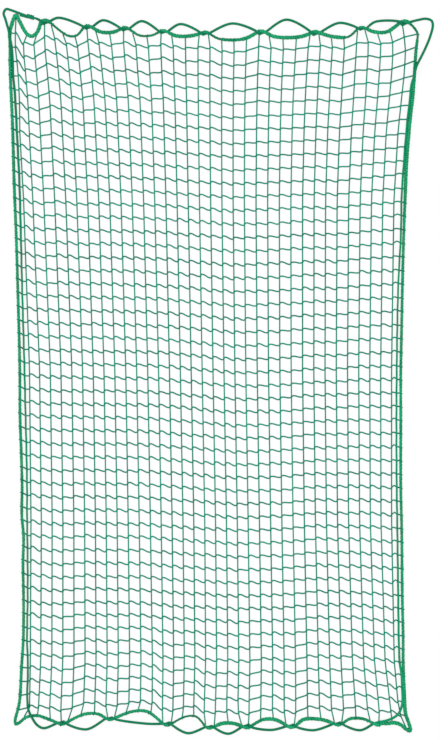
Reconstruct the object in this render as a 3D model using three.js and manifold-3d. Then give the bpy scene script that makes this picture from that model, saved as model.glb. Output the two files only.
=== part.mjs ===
// A cargo net laid out flat: a square-mesh panel of knotless twine, a border rope that its edge
// meshes are whipped to, and one elastic cord laced round the border, its ends tied in a knot.
// Millimetres, +Z up. X runs across the net, Y along it, and the floor is at Z = 0.
import * as THREE from "three";
import { LoftGeometry } from "three/addons/geometries/LoftGeometry.js";
import { mergeVertices } from "three/addons/utils/BufferGeometryUtils.js";
import Module from "manifold-3d";

// Driving dimensions
const MESHES_ACROSS = 35;
const MESHES_ALONG = 52;
const STRAND_STEP = 2; // every second strand is modelled, so the gaps are two meshes wide
const TWINE = 3; // width and height of a twine strand
const BORDER_DIAMETER = 10;
const ELASTIC_DIAMETER = 8;
const ROPE_SIDES = 6;
const GAP = 0.3; // between neighbouring pieces
const BEND_TOLERANCE = 0.9; // how far a rope's straight steps may stray from its curve
const STRAND_STAND_OFF = 18; // a laced mesh's strands stand this far either side of the lacing

// Lacing: at each peak the elastic goes over the border, along inside it and out under it.
const LACE_REACH = 17; // from the middle of a peak to each crossing
const LACE_DROP = 8; // how far the border falls away at the crossings
const BORDER_PEAK_OUT = 3.5; // border outside the middle of a peak
const LACE_STATIONS = [-1, -0.5, 0, 0.5, 1]; // in lacing reaches
const LIFT_POWER = 1.4; // how late the border rises on to the elastic
const LACE_SLACK = 0.5; // room between the two ropes where they turn round each other

const borderRadius = BORDER_DIAMETER / 2;
const elasticRadius = ELASTIC_DIAMETER / 2;
const flatShare = Math.cos(Math.PI / ROPE_SIDES); // a side's distance from the middle of the section
const borderRest = borderRadius * flatShare; // height of a rope that lies on the floor
const elasticRest = elasticRadius * flatShare;
const laceDistance = borderRadius + elasticRadius + LACE_SLACK;
const elasticOver = borderRest + laceDistance;
const elasticOnNet = TWINE + GAP + elasticRest;
const borderLift = elasticRest + laceDistance - borderRest;

// Laced meshes of the top edge, left to right. A row is one peak: the place of the laced mesh among
// the strands, the middle of the peak, the lowest point of the border's scallop after it with the
// length of its flat, and the crest of the elastic's loop above that scallop.
const TOP_PEAKS = [
  { mesh: 4.5, x: -587, y: 1193, sagX: -495, sagY: 1140, flat: 0, crestX: -537, crestY: 1203 },
  { mesh: 8.5, x: -439, y: 1175, sagX: -374, sagY: 1152, flat: 0, crestX: -387, crestY: 1195 },
  { mesh: 11.5, x: -316, y: 1169, sagX: -242, sagY: 1140, flat: 0, crestX: -257, crestY: 1193 },
  { mesh: 14.5, x: -187, y: 1159, sagX: -119, sagY: 1138, flat: 0, crestX: -128, crestY: 1183 },
  { mesh: 17.5, x: -47, y: 1154, sagX: 62, sagY: 1129, flat: 70, crestX: 49, crestY: 1185 },
  { mesh: 22.5, x: 149, y: 1157, sagX: 245, sagY: 1135, flat: 0, crestX: 234, crestY: 1198 },
  { mesh: 26.5, x: 332, y: 1154, sagX: 421, sagY: 1136, flat: 0, crestX: 418, crestY: 1186 },
  { mesh: 30.5, x: 489, y: 1170, sagX: 555, sagY: 1152, flat: 0, crestX: 541, crestY: 1193 },
  { mesh: 33.5, x: 633, y: 1190 },
];

// Laced meshes of the bottom edge, right to left, with the same columns.
const BOTTOM_PEAKS = [
  { mesh: 31.5, x: 535, y: -1202, sagX: 470, sagY: -1180, flat: 0, crestX: 477, crestY: -1223 },
  { mesh: 28.5, x: 408, y: -1203, sagX: 320, sagY: -1182, flat: 0, crestX: 320, crestY: -1224 },
  { mesh: 24.5, x: 249, y: -1211, sagX: 169, sagY: -1185, flat: 0, crestX: 175, crestY: -1222 },
  { mesh: 20.5, x: 95, y: -1211, sagX: 33, sagY: -1198, flat: 0, crestX: 33, crestY: -1235 },
  { mesh: 17.5, x: -30, y: -1213, sagX: -95, sagY: -1174, flat: 0, crestX: -102, crestY: -1232 },
  { mesh: 13.5, x: -172, y: -1204, sagX: -267, sagY: -1157, flat: 0, crestX: -245, crestY: -1200 },
  { mesh: 8.5, x: -371, y: -1183, sagX: -443, sagY: -1166, flat: 0, crestX: -452, crestY: -1221 },
  { mesh: 4.5, x: -533, y: -1198 },
];

// The long sides, in the order that the elastic runs: down the right side, up the left.
// Columns: y, the border's x and the elastic's x beside it.
const RIGHT_SIDE = [
  { y: 955, border: 665, elastic: 655 },
  { y: 930, border: 662, elastic: 652 },
  { y: 841, border: 652, elastic: 642 },
  { y: 708, border: 643, elastic: 633 },
  { y: 602, border: 639, elastic: 627 },
  { y: 463, border: 632, elastic: 620 },
  { y: 313, border: 629, elastic: 615 },
  { y: 160, border: 626, elastic: 611 },
  { y: 0, border: 623, elastic: 609 },
  { y: -160, border: 623, elastic: 608 },
  { y: -398, border: 623, elastic: 609 },
  { y: -531, border: 627, elastic: 610 },
  { y: -759, border: 629, elastic: 613 },
  { y: -909, border: 633, elastic: 617 },
  { y: -987, border: 633, elastic: 619 },
  { y: -1055, border: 630, elastic: 620 },
  { y: -1123, border: 633, elastic: 623 },
];
const LEFT_SIDE = [
  { y: -1106, border: -675, elastic: -648 },
  { y: -1007, border: -670, elastic: -648 },
  { y: -909, border: -664, elastic: -649 },
  { y: -780, border: -663, elastic: -649 },
  { y: -650, border: -667, elastic: -649 },
  { y: -562, border: -665, elastic: -650 },
  { y: -487, border: -669, elastic: -651 },
  { y: -395, border: -667, elastic: -652 },
  { y: -272, border: -671, elastic: -654 },
  { y: -153, border: -675, elastic: -656 },
  { y: 17, border: -675, elastic: -658 },
  { y: 259, border: -681, elastic: -665 },
  { y: 460, border: -689, elastic: -671 },
  { y: 643, border: -695, elastic: -677 },
  { y: 824, border: -699, elastic: -686 },
  { y: 940, border: -703, elastic: -691 },
  { y: 1004, border: -705, elastic: -695 },
  { y: 1062, border: -706, elastic: -696 },
];

// The border's corners, as x and y, each in the order that the elastic runs.
const BORDER_TOP_RIGHT = [[663, 1172], [679, 1150], [678, 1127], [673, 1096], [672, 1055], [669, 1005]];
const BORDER_BOTTOM_RIGHT = [
  [636, -1161], [645, -1191], [653, -1213], [651, -1222],
  [638, -1216], [621, -1203], [600, -1196], [572, -1198],
];
const BORDER_BOTTOM_LEFT = [
  [-588, -1180], [-614, -1173], [-636, -1174], [-657, -1180],
  [-675, -1195], [-688, -1202], [-691, -1193], [-688, -1175], [-679, -1140],
];
const BORDER_TOP_LEFT = [
  [-706, 1100], [-708, 1138], [-708, 1158], [-704, 1176], [-697, 1196], [-689, 1212], [-684, 1210],
  [-679, 1198], [-672, 1184], [-664, 1166], [-652, 1150], [-638, 1141], [-622, 1149], [-611, 1167],
];

// The elastic's corners, as x, y and the height of its middle.
const ELASTIC_TOP_RIGHT = [
  [677, 1197, elasticRest], [707, 1201, elasticRest], [727, 1193, elasticRest],
  [732, 1177, elasticRest], [724, 1137, elasticRest], [707, 1096, elasticRest],
  [690, 1066, 8], [676, 1038, elasticOver], [667, 1004, elasticOver], [658, 976, 9],
];
const ELASTIC_BOTTOM_RIGHT = [
  [623, -1151, elasticOnNet], [614, -1167, elasticOnNet],
  [594, -1180, elasticOnNet], [570, -1187, elasticOnNet],
];
const ELASTIC_BOTTOM_LEFT = [
  [-595, -1216, elasticRest], [-619, -1203, 8], [-635, -1174, elasticOver], [-645, -1150, 10],
];
const ELASTIC_TOP_LEFT = [
  [-700, 1105, 12], [-706, 1133, elasticOver], [-712, 1160, elasticOver], [-718, 1179, 8],
  [-724, 1199, elasticRest], [-729, 1219, elasticRest], [-720, 1233, elasticRest],
  [-704, 1229, 7], [-690, 1223, 11],
];

// Upright strands: x of six of them at seven heights, and at the two ends of the outer ones.
const STRAND_COLUMNS = [1, 2, 9, 17, 26, 34];
const STRAND_ROWS = [
  { y: 1093, x: [-691, -665, -405, -69, 306, 635] },
  { y: 922, x: [-677, -649, -386, -69, 295, 623] },
  { y: 582, x: [-663, -632, -370, -65, 286, 598] },
  { y: 7, x: [-643, -609, -353, -56, 286, 589] },
  { y: -507, x: [-638, -603, -345, -47, 292, 589] },
  { y: -984, x: [-640, -605, -341, -44, 301, 600] },
  { y: -1120, x: [-643, -613, -344, -46, 302, 610] },
];
const OUTER_STRAND_ENDS = { topLeft: -692, topRight: 650, bottomLeft: -645, bottomRight: 612 };

// Rows: y of five of them at six of the upright strands, where the scallops don't pull on them.
const ROW_STRANDS = [1, 8, 14, 20, 27, 34];
const ROW_HEIGHTS = [
  { row: 1, y: [1140, 1120, 1111, 1091, 1103, 1135] },
  { row: 9, y: [766, 756, 746, 729, 744, 762] },
  { row: 25, y: [31, 27, 16, -3, 10, 19] },
  { row: 41, y: [-689, -698, -708, -718, -703, -716] },
  { row: 51, y: [-1144, -1135, -1142, -1157, -1147, -1164] },
];
const EDGE_MESH = 42.5; // from the first and the last row to a border that doesn't pull
const SCALLOP_SHARE = 0.45; // how much of the border's scallops those two rows follow
const SCALLOP_ROWS = 8; // the rows over which that dies out

// The knot: a row for each ring along it, as the share of its length and of its radius.
const KNOT_LENGTH = 34;
const KNOT_RADIUS = 7;
const KNOT_SEGMENTS = 10;
const KNOT_LEAD = 6; // the cord runs straight for this far out of the knot
const KNOT_MIDDLE = new THREE.Vector2(-639, 1206);
const KNOT_ANGLE = THREE.MathUtils.degToRad(-16.5);
const KNOT_RINGS = [
  [0, 0], [0, 0.56], [0.1, 0.7], [0.2, 1], [0.31, 0.78], [0.42, 0.98],
  [0.58, 0.98], [0.69, 0.78], [0.8, 1], [0.9, 0.7], [1, 0.56], [1, 0],
];
const KNOT_TAIL = [[-648, 1200, 6], [-660, 1203, elasticRest], [-674, 1206, elasticRest]];

const wasm = await Module();
wasm.setup();

const lerp = THREE.MathUtils.lerp;

// A value read from rising places in one list and the values there in another, run on past both ends.
function interpolate(places, values, place) {
  const last = places.length - 2;
  const found = places.findIndex((_, k) => k > last || place < places[k + 1]);
  const k = Math.min(found, last);
  return lerp(values[k], values[k + 1], (place - places[k]) / (places[k + 1] - places[k]));
}

// The border at one lacing station of a peak. Along is +1 on the top edge and -1 on the bottom one,
// which is also the way out of the net.
function borderStation(peak, along, station) {
  const y = peak.y + along * (BORDER_PEAK_OUT - LACE_DROP * station ** 2);
  const z = borderRest + borderLift * ((1 + station) / 2) ** LIFT_POWER;
  return new THREE.Vector3(peak.x + along * station * LACE_REACH, y, z);
}

// The elastic at the same station: it turns round the border from above, by its inside, to below.
// Where it comes from inside the net it stays there, on the strands, until the middle of the peak.
function elasticStation(peak, along, station, comesFromInside) {
  const turn = comesFromInside ? Math.max(station, 0) : station;
  const angle = (1 + turn) * (Math.PI / 2);
  const slope = (2 * LACE_DROP * station) / LACE_REACH;
  const inward = laceDistance * Math.sin(angle) * Math.hypot(1, slope);
  const place = borderStation(peak, along, station);
  place.y -= along * inward;
  place.z += laceDistance * Math.cos(angle);
  const lowest = comesFromInside && station < 0 ? elasticOnNet : elasticRest;
  place.z = Math.max(place.z, lowest);
  return place;
}

function borderEdge(peaks, along) {
  return peaks.flatMap((peak) => {
    const points = LACE_STATIONS.map((station) => borderStation(peak, along, station));
    if (peak.sagX === undefined) return points;
    const flats = peak.flat ? [-peak.flat / 2, peak.flat / 2] : [0];
    const sag = flats.map((f) => new THREE.Vector3(peak.sagX + along * f, peak.sagY, borderRest));
    return [...points, ...sag];
  });
}

function elasticEdge(peaks, along, comesFromInside) {
  return peaks.flatMap((peak, k) => {
    const inside = comesFromInside && k === 0;
    const points = LACE_STATIONS.map((station) => elasticStation(peak, along, station, inside));
    if (peak.crestX === undefined) return points;
    return [...points, new THREE.Vector3(peak.crestX, peak.crestY, elasticRest)];
  });
}

const onFloor = (points) => points.map(([x, y]) => new THREE.Vector3(x, y, borderRest));
const vectors = (points) => points.map((point) => new THREE.Vector3(...point));
const sideBorder = (side) => side.map((row) => new THREE.Vector3(row.border, row.y, borderRest));
const sideElastic = (side) => side.map((row) => new THREE.Vector3(row.elastic, row.y, elasticOnNet));

const borderCurve = new THREE.CatmullRomCurve3(
  [
    ...borderEdge(TOP_PEAKS, 1),
    ...onFloor(BORDER_TOP_RIGHT),
    ...sideBorder(RIGHT_SIDE),
    ...onFloor(BORDER_BOTTOM_RIGHT),
    ...borderEdge(BOTTOM_PEAKS, -1),
    ...onFloor(BORDER_BOTTOM_LEFT),
    ...sideBorder(LEFT_SIDE),
    ...onFloor(BORDER_TOP_LEFT),
  ],
  true,
);

// The two ends of the knot, where the elastic runs in and out.
const knotDirection = new THREE.Vector2(Math.cos(KNOT_ANGLE), Math.sin(KNOT_ANGLE));
function besideKnot(side, distance) {
  const end = KNOT_MIDDLE.clone().addScaledVector(knotDirection, side * (KNOT_LENGTH / 2 + distance));
  return new THREE.Vector3(end.x, end.y, KNOT_RADIUS);
}

const elasticCurve = new THREE.CatmullRomCurve3([
  besideKnot(1, GAP),
  besideKnot(1, KNOT_LEAD),
  ...elasticEdge(TOP_PEAKS, 1, false),
  ...vectors(ELASTIC_TOP_RIGHT),
  ...sideElastic(RIGHT_SIDE),
  ...vectors(ELASTIC_BOTTOM_RIGHT),
  ...elasticEdge(BOTTOM_PEAKS, -1, true),
  ...vectors(ELASTIC_BOTTOM_LEFT),
  ...sideElastic(LEFT_SIDE),
  ...vectors(ELASTIC_TOP_LEFT),
  besideKnot(-1, KNOT_LEAD),
  besideKnot(-1, GAP),
]);

// Places along a curve, with as many steps between two of its own points as the bend there needs.
function places(curve) {
  const spans = curve.points.length - (curve.closed ? 0 : 1);
  const found = [];
  for (let span = 0; span < spans; span++) {
    const start = curve.getPoint(span / spans);
    const chordMiddle = start.lerp(curve.getPoint((span + 1) / spans), 0.5);
    const bend = curve.getPoint((span + 0.5) / spans).distanceTo(chordMiddle);
    const steps = Math.max(1, Math.ceil(Math.sqrt(bend / BEND_TOLERANCE)));
    for (let step = 0; step < steps; step++) found.push((span + step / steps) / spans);
  }
  return curve.closed ? found : [...found, 1];
}

// A place on a rope's middle line, never lower than the rope lies on the floor.
function onRope(curve, place, radius) {
  const middle = curve.getPoint(place);
  middle.z = Math.max(middle.z, radius * flatShare);
  return middle;
}

// A rope along a curve, its section upright everywhere with one flat side down.
function ropeGeometry(curve, radius) {
  const sections = places(curve).map((place) => {
    const middle = onRope(curve, place, radius);
    const ahead = curve.getTangent(place);
    const across = new THREE.Vector3(-ahead.y, ahead.x, 0).normalize();
    const up = new THREE.Vector3().crossVectors(ahead, across);
    return Array.from({ length: ROPE_SIDES }, (_, side) => {
      const angle = (side / ROPE_SIDES) * 2 * Math.PI;
      const point = middle.clone().addScaledVector(across, radius * Math.cos(angle));
      return point.addScaledVector(up, radius * Math.sin(angle));
    });
  });
  if (curve.closed) return new LoftGeometry([...sections, sections[0]]);
  return new LoftGeometry(sections, { capStart: true, capEnd: true });
}

// The border's middle line as its solid has it, for the strands that end on it.
const borderLine = places(borderCurve).map((place) => onRope(borderCurve, place, borderRadius));
borderLine.push(borderLine[0]);

// Where the border crosses a line at a given x or y: the outermost place on one side of the net.
function borderAt(axis, value, side) {
  const other = axis === "x" ? "y" : "x";
  let best = null;
  for (let k = 0; k + 1 < borderLine.length; k++) {
    const a = borderLine[k];
    const b = borderLine[k + 1];
    if ((a[axis] - value) * (b[axis] - value) > 0 || a[axis] === b[axis]) continue;
    const place = a.clone().lerp(b, (value - a[axis]) / (b[axis] - a[axis]));
    if (!best || side * place[other] > side * best[other]) best = place;
  }
  return best;
}

// Where strands meet the border: laced meshes straddle their peaks, and the rest share the room.
function edgePlaces(peaks, first, last) {
  const rising = [...peaks].sort((a, b) => a.mesh - b.mesh);
  const pairs = rising.flatMap((peak) => [
    [peak.mesh - 0.5, peak.x - STRAND_STAND_OFF],
    [peak.mesh + 0.5, peak.x + STRAND_STAND_OFF],
  ]);
  const inner = pairs.filter(([strand]) => strand > 1 && strand < MESHES_ACROSS - 1);
  return [[1, first], ...inner, [MESHES_ACROSS - 1, last]];
}
const topPlaces = edgePlaces(TOP_PEAKS, OUTER_STRAND_ENDS.topLeft, OUTER_STRAND_ENDS.topRight);
const bottomPlaces = edgePlaces(
  BOTTOM_PEAKS,
  OUTER_STRAND_ENDS.bottomLeft,
  OUTER_STRAND_ENDS.bottomRight,
);
const edgeX = (pairs, strand) =>
  interpolate(pairs.map((pair) => pair[0]), pairs.map((pair) => pair[1]), strand);

// One upright strand: its two ends on the border's middle line, and x at any height between them.
function uprightStrand(strand) {
  const top = borderAt("x", edgeX(topPlaces, strand), 1);
  const bottom = borderAt("x", edgeX(bottomPlaces, strand), -1);
  const rows = [...STRAND_ROWS].reverse();
  const heights = [bottom.y, ...rows.map((row) => row.y), top.y];
  const across = rows.map((row) => interpolate(STRAND_COLUMNS, row.x, strand));
  const xs = [bottom.x, ...across, top.x];
  return { strand, top, bottom, xAt: (y) => interpolate(heights, xs, y) };
}

// Where an upright strand and a row cross. Rows near the two short edges follow their scallops.
const tableRows = ROW_HEIGHTS.map((level) => level.row);
const pullAt = (rowsAway) => SCALLOP_SHARE * Math.max(0, 1 - rowsAway / SCALLOP_ROWS);
function crossing(upright, row) {
  const levels = ROW_HEIGHTS.map((level) => interpolate(ROW_STRANDS, level.y, upright.strand));
  const topPull = upright.top.y - (levels[0] + EDGE_MESH);
  const bottomPull = upright.bottom.y - (levels.at(-1) - EDGE_MESH);
  const y =
    interpolate(tableRows, levels, row) +
    topPull * pullAt(row - 1) +
    bottomPull * pullAt(MESHES_ALONG - 1 - row);
  return new THREE.Vector3(upright.xAt(y), y, 0);
}

// The section of a strand of square twine, in the order that makes its faces point outwards.
const half = TWINE / 2;
const SECTION_CORNERS = [[half, 0], [half, TWINE], [-half, TWINE], [-half, 0]];
const ACROSS = new THREE.Vector3(1, 0, 0);
const ALONG = new THREE.Vector3(0, 1, 0);
function strandSection(middle, wide) {
  return SECTION_CORNERS.map(([w, height]) => {
    const corner = middle.clone().addScaledVector(wide, w);
    corner.z += height;
    return corner;
  });
}

// The place on the border's middle line that is nearest to another, seen from above.
function nearestOnBorder(place) {
  const seen = new THREE.Vector3(place.x, place.y, 0);
  const chord = new THREE.Line3();
  let best = null;
  let bestDistance = Infinity;
  for (let k = 0; k + 1 < borderLine.length; k++) {
    chord.start.copy(borderLine[k]).setZ(0);
    chord.end.copy(borderLine[k + 1]).setZ(0);
    const share = chord.closestPointToPointParameter(seen, true);
    const distance = chord.at(share, new THREE.Vector3()).distanceTo(seen);
    if (distance >= bestDistance) continue;
    bestDistance = distance;
    best = borderLine[k].clone().lerp(borderLine[k + 1], share);
  }
  return { best, bestDistance };
}

// The end of a strand that runs from its last crossing to a place on the border. Each of its two
// edges stops just short of the rope, and the end is as far off the floor as the rope is there.
const END_SEARCH_STEPS = 20;
const ropeHalfWidth = borderRadius * (0.5 + (0.5 * TWINE) / borderRest); // at the twine's upper face
function endSection(from, onBorder, wide) {
  return strandSection(from, wide).map((corner, k) => {
    const goal = strandSection(onBorder.clone().setZ(0), wide)[k];
    let clear = 0;
    let blocked = 1;
    for (let step = 0; step < END_SEARCH_STEPS; step++) {
      const middle = (clear + blocked) / 2;
      const place = corner.clone().lerp(goal, middle);
      if (nearestOnBorder(place).bestDistance > ropeHalfWidth + GAP) clear = middle;
      else blocked = middle;
    }
    const end = corner.clone().lerp(goal, clear);
    end.z += nearestOnBorder(end).best.z - borderRest;
    return end;
  });
}

// The four sides of a stretch of twine between two sections.
function stretchFaces(from, to) {
  return from.flatMap((corner, k) => {
    const next = (k + 1) % from.length;
    return [corner, from[next], to[k], from[next], to[next], to[k]];
  });
}
const capFaces = ([a, b, c, d]) => [a, b, c, a, c, d];

// A strand's twine: from one end section, between each two neighbours of a line of crossings, to the
// other end section. Forward runs along the line, and wide runs across the twine.
function strandFaces(startSection, line, endingSection, forward, wide) {
  const after = line.map((middle) => strandSection(middle.clone().addScaledVector(forward, half), wide));
  const before = line.map((middle) => strandSection(middle.clone().addScaledVector(forward, -half), wide));
  const starts = [startSection, ...after];
  const stops = [...before, endingSection];
  return [
    ...capFaces([...startSection].reverse()),
    ...starts.flatMap((section, k) => stretchFaces(section, stops[k])),
    ...capFaces(endingSection),
  ];
}

// The upper and lower face of the twine where two strands cross.
function crossingFaces(middle) {
  const at = (x, y, z) => new THREE.Vector3(middle.x + x * half, middle.y + y * half, middle.z + z);
  const upper = [at(-1, -1, TWINE), at(1, -1, TWINE), at(1, 1, TWINE), at(-1, 1, TWINE)];
  const lower = [at(-1, 1, 0), at(1, 1, 0), at(1, -1, 0), at(-1, -1, 0)];
  return [...capFaces(upper), ...capFaces(lower)];
}

// Closed geometries joined into one.
const MERGE_TOLERANCE = 1e-3;
function solidOf(geometry) {
  const bare = new THREE.BufferGeometry().setIndex(geometry.index);
  bare.setAttribute("position", geometry.getAttribute("position"));
  const merged = mergeVertices(bare, MERGE_TOLERANCE);
  const vertProperties = new Float32Array(merged.getAttribute("position").array);
  const triVerts = new Uint32Array(merged.index.array);
  return new wasm.Manifold(new wasm.Mesh({ numProp: 3, vertProperties, triVerts }));
}
function joined(geometries) {
  const mesh = geometries.map(solidOf).reduce((whole, piece) => whole.add(piece)).getMesh();
  const geometry = new THREE.BufferGeometry();
  geometry.setAttribute("position", new THREE.BufferAttribute(mesh.vertProperties, 3));
  geometry.setIndex(new THREE.BufferAttribute(mesh.triVerts, 1));
  geometry.computeVertexNormals();
  return geometry;
}

// The panel: upright strands from border to border, and rows across them.
function panelGeometry() {
  const uprights = [];
  for (let strand = STRAND_STEP; strand < MESHES_ACROSS; strand += STRAND_STEP) {
    uprights.push(uprightStrand(strand));
  }
  const rows = [];
  for (let row = STRAND_STEP; row < MESHES_ALONG; row += STRAND_STEP) rows.push(row);
  const columns = uprights.map((upright) => rows.map((row) => crossing(upright, row)));

  const strands = uprights.flatMap((upright, u) => {
    const line = columns[u];
    const topEnd = endSection(line[0], upright.top, ACROSS);
    const bottomEnd = endSection(line[line.length - 1], upright.bottom, ACROSS);
    return strandFaces(topEnd, line, bottomEnd, ALONG.clone().negate(), ACROSS);
  });
  const across = rows.flatMap((_, r) => {
    const line = columns.map((column) => column[r]);
    const first = line[0];
    const last = line[line.length - 1];
    const leftEnd = endSection(first, borderAt("y", first.y, -1), ALONG);
    const rightEnd = endSection(last, borderAt("y", last.y, 1), ALONG);
    return strandFaces(leftEnd, line, rightEnd, ACROSS, ALONG);
  });
  const plates = columns.flat().flatMap(crossingFaces);
  const geometry = new THREE.BufferGeometry().setFromPoints([...strands, ...across, ...plates]);
  geometry.computeVertexNormals();
  return geometry;
}

// The knot: a ridged lump along the cord, with the tied end lying beside the cord.
function knotGeometry() {
  const rings = KNOT_RINGS.map(
    ([along, out]) => new THREE.Vector2(out * KNOT_RADIUS, (along - 0.5) * KNOT_LENGTH),
  );
  const lump = new THREE.LatheGeometry(rings, KNOT_SEGMENTS);
  lump.rotateZ(KNOT_ANGLE - Math.PI / 2);
  lump.translate(KNOT_MIDDLE.x, KNOT_MIDDLE.y, KNOT_RADIUS);
  const tail = ropeGeometry(new THREE.CatmullRomCurve3(vectors(KNOT_TAIL)), elasticRadius);
  return joined([lump, tail]);
}

const FINISHES = {
  twine: { color: 0x3f8f7c, roughness: 0.75, metalness: 0 },
  border: { color: 0x1f9460, roughness: 0.7, metalness: 0 },
  elastic: { color: 0x1f6e50, roughness: 0.65, metalness: 0 },
};

function piece(name, geometry, finish) {
  const mesh = new THREE.Mesh(geometry, new THREE.MeshStandardMaterial(FINISHES[finish]));
  mesh.name = name;
  return mesh;
}

const net = new THREE.Group();
net.add(
  piece("mesh_panel", panelGeometry(), "twine"),
  piece("border_rope", ropeGeometry(borderCurve, borderRadius), "border"),
  piece("elastic_cord", ropeGeometry(elasticCurve, elasticRadius), "elastic"),
  piece("elastic_knot", knotGeometry(), "elastic"),
);

// The origin is under the middle of the whole net.
const middle = new THREE.Box3().setFromObject(net).getCenter(new THREE.Vector3());
net.children.forEach((mesh) => mesh.position.set(-middle.x, -middle.y, 0));

export default net;
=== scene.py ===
"""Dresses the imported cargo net: every strand of its mesh, the whipped border rope, the laced elastic
cord and the knot in it, on a pale studio floor. Metres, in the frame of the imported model."""

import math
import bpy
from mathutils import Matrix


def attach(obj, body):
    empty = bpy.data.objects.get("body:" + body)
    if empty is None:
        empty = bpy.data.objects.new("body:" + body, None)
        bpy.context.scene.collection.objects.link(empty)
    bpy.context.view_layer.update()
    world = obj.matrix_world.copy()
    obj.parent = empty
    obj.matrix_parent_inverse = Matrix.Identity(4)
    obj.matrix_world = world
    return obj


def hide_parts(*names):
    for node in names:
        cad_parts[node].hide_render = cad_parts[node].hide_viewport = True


bl_info = {
    "name": "Cargo net",
    "version": (1, 0, 0),
    "blender": (4, 5, 0),
    "location": "3D View > Sidebar > Cargo net",
    "description": "Builds a laid-out cargo net piece by piece round its packed solids",
    "category": "Add Mesh",
}

from collections import namedtuple

import bpy
import numpy as np

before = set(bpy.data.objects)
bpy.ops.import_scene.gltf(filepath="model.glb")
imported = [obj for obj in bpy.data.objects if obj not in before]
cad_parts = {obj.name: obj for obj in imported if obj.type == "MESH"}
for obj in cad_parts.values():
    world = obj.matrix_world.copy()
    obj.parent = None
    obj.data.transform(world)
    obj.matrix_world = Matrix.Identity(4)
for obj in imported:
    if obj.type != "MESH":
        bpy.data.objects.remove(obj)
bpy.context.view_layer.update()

# The panel as it was cut
MESHES_ACROSS = 35
MESHES_ALONG = 52
NET_MIDDLE = (0.0015, -0.0008)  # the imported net's middle, where the tables below have it

# The lacing: at each peak the elastic goes over the border, along inside it and out under it
LACE_REACH = 0.0125
LACE_DROP = 0.0045
BORDER_PEAK_OUT = 0.002
LACE_PRESS = 0.0012  # how far the two ropes press into each other
LACED_BORDER = 1.15  # each rope's thickness there as a share, in a lump whose fullness is 1
LACED_ELASTIC = 1.0
LACE_HIGHLIGHT = 0.18  # painted highlight: how much lighter the ropes are there, on the laced lump
LACE_NEAR = (0.010, 0.030)  # both hold this close to the peak, and have faded out this far from it
CROSSED_BORDER = 1.25  # the border's thickness where the elastic lies on it, as a share

# Stations of a lacing from -1 to 1 along it: the elastic's turn round the border from above it, in
# degrees, and the share of its full lift that the border has
LaceStation = namedtuple("LaceStation", "along turn lift")
LACE_STATIONS = (
    LaceStation(-1, 0, 0), LaceStation(-0.5, 75, 0.15), LaceStation(0, 125, 0.52),
    LaceStation(0.5, 155, 0.9), LaceStation(1, 180, 1),
)

# Laced meshes: place among the strands, middle of the peak, the two strands beside it as distances in
# x, how full the lump of ropes is, the lowest point of the border's scallop after it with the length of
# its flat, and the crest of the elastic's loop above that scallop
Peak = namedtuple(
    "Peak", "mesh x y lower upper full sag_x sag_y flat crest_x crest_y", defaults=(None,) * 5
)
TOP_PEAKS = (
    Peak(4.5, -0.590, 1.192, -0.002, 0.025, 1.2, -0.498, 1.1430, 0.030, -0.5445, 1.2035),
    Peak(8.5, -0.445, 1.1735, -0.005, 0.029, 1.0, -0.378, 1.1545, 0.042, -0.393, 1.195),
    Peak(11.5, -0.319, 1.168, -0.006, 0.030, 1.0, -0.248, 1.1435, 0.042, -0.261, 1.192),
    Peak(14.5, -0.189, 1.158, -0.009, 0.031, 0.95, -0.119, 1.1415, 0.050, -0.130, 1.182),
    Peak(17.5, -0.047, 1.153, -0.021, 0.016, 1.0, 0.045, 1.1315, 0.084, 0.047, 1.184),
    Peak(22.5, 0.1445, 1.156, -0.0085, 0.0295, 1.1, 0.235, 1.1385, 0.086, 0.231, 1.197),
    Peak(26.5, 0.3285, 1.154, -0.0185, 0.0135, 1.15, 0.416, 1.1385, 0.050, 0.411, 1.186),
    Peak(30.5, 0.487, 1.169, -0.018, 0.013, 0.9, 0.551, 1.1550, 0.042, 0.534, 1.190),
    Peak(34.5, 0.631, 1.189, -0.008, 0.020, 1.25),
)
BOTTOM_PEAKS = (
    Peak(31.5, 0.5425, -1.199, -0.0305, 0.0055, 1.15, 0.469, -1.1805, 0.042, 0.482, -1.220),
    Peak(28.5, 0.408, -1.200, -0.017, 0.014, 0.95, 0.319, -1.1830, 0.060, 0.323, -1.220),
    Peak(24.5, 0.249, -1.208, -0.022, 0.012, 1.0, 0.172, -1.1835, 0.042, 0.179, -1.219),
    Peak(20.5, 0.097, -1.209, -0.020, 0.007, 1.1, 0.031, -1.1960, 0.036, 0.033, -1.232),
    Peak(17.5, -0.029, -1.211, -0.019, 0.017, 0.9, -0.094, -1.1735, 0.036, -0.1045, -1.230),
    Peak(13.5, -0.173, -1.2005, -0.020, 0.015, 1.0, -0.268, -1.1560, 0.050, -0.247, -1.1975),
    Peak(8.5, -0.368, -1.182, -0.011, 0.017, 0.9, -0.432, -1.1647, 0.046, -0.449, -1.217),
    Peak(4.5, -0.532, -1.197, -0.002, 0.024, 1.0),
)

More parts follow.
